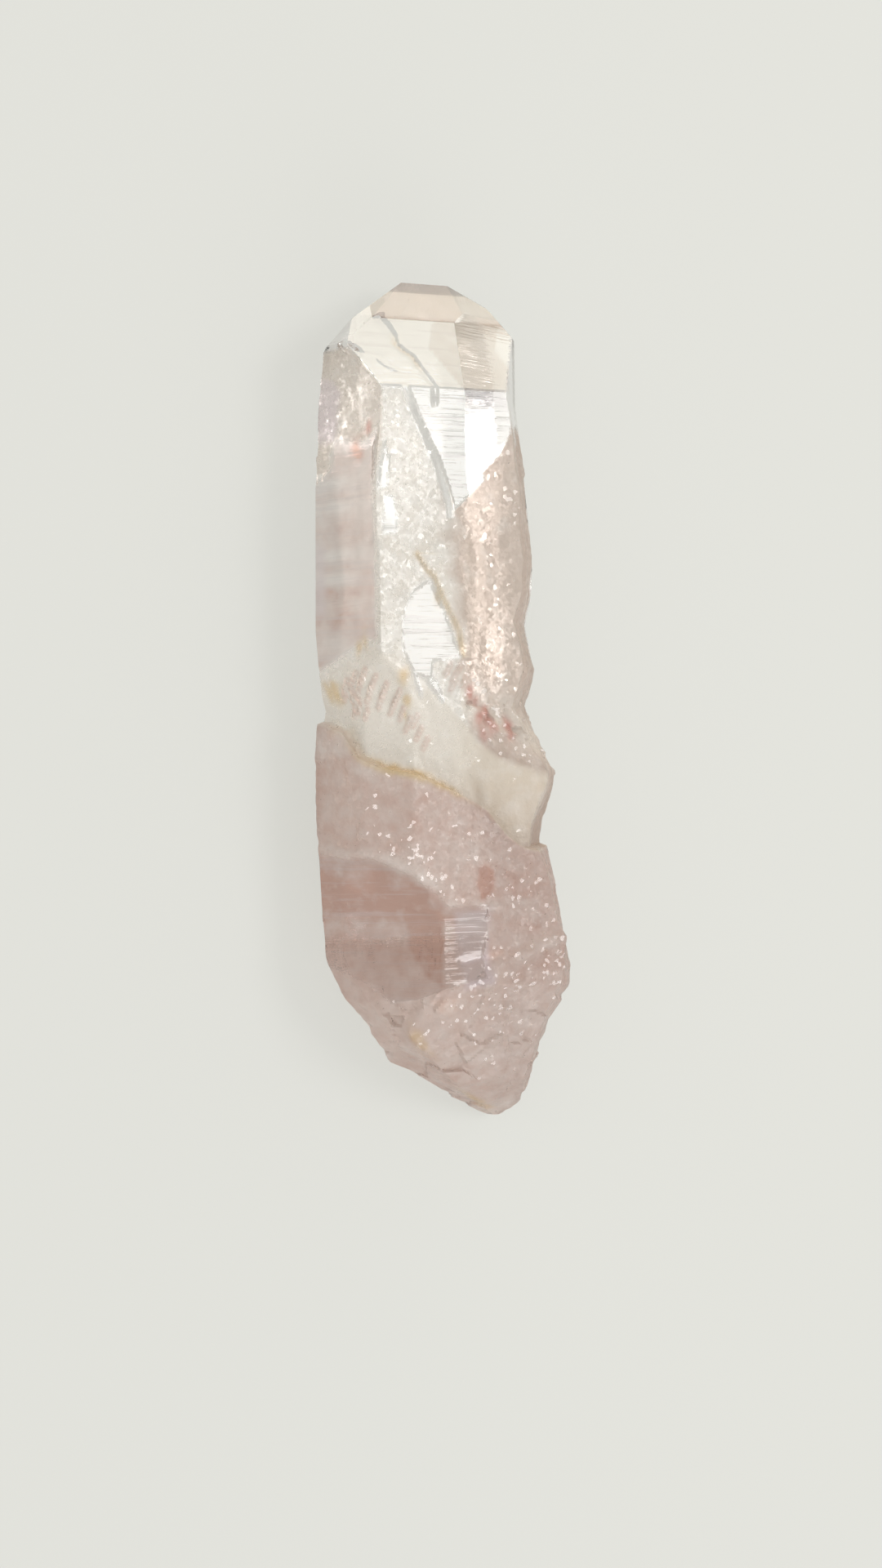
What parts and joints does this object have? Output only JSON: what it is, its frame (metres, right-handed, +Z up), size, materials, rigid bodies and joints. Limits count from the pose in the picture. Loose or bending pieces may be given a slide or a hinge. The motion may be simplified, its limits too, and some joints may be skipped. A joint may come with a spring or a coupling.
{
  "type": "smoky lemurian quartz crystal",
  "caption": "Loose smoky quartz point lying on a prism face, with a faceted termination, a slanting growth seam and a broken root",
  "frame": {"origin": "middle of the crystal's box, on the surface it lies on", "axes": "+Y along the growth axis towards the faceted termination, +Z up through the best face, X across"},
  "size_m": [0.0346, 0.1152, 0.0202],
  "materials": {
    "smoky_quartz": "natural clear to frosted crystal faces"
  },
  "bodies": {
    "root": {"quartz_crystal": "smoky_quartz"}
  },
  "joints": []
}
